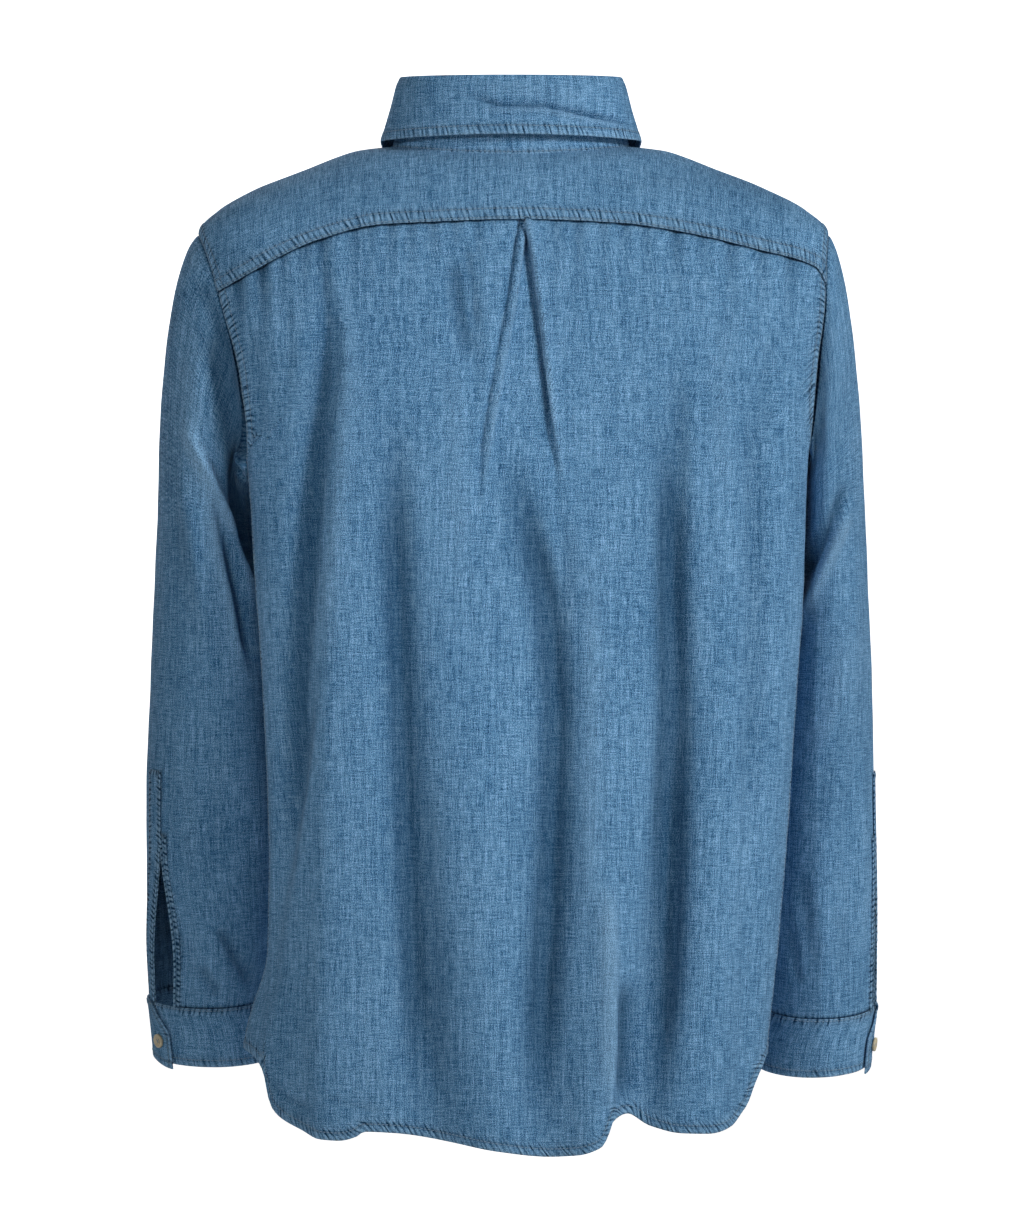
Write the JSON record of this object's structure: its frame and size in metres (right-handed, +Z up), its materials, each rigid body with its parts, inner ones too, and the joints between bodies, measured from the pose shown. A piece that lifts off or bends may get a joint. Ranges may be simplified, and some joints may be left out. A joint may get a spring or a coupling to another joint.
{
  "type": "denim shirt",
  "caption": "Long-sleeved chambray denim shirt with a yoke, back pleat, fall collar, buttoned cuffs and curved tails, filled out and open at neck, hem and cuffs.",
  "frame": {"origin": "middle of the neck, level with the points where the shoulders meet it", "axes": "+Z up, +Y out of the back, +X to the wearer's left"},
  "size_m": [0.576, 0.2861, 0.8386],
  "materials": {
    "denim": "plain-woven chambray denim with light and dark slubs, matte",
    "collar_denim": "the same chambray, stiffened, with worn edges and topstitching",
    "button": "cream, softly glossy, with a raised rim"
  },
  "bodies": {
    "root": {"yoke": "denim", "back": "denim", "front_left": "denim", "front_right": "denim", "placket_left": "denim", "collar_stand": "collar_denim", "collar_fall": "collar_denim", "sleeve_left": "denim", "sleeve_placket_left": "denim", "sleeve_binding_left": "denim", "cuff_left": "collar_denim", "cuff_button_left": "button", "sleeve_right": "denim", "sleeve_placket_right": "denim", "sleeve_binding_right": "denim", "cuff_right": "collar_denim", "cuff_button_right": "button", "button_0": "button", "button_1": "button", "button_2": "button", "button_3": "button", "button_4": "button", "button_5": "button", "button_6": "button", "button_7": "button"}
  },
  "joints": []
}
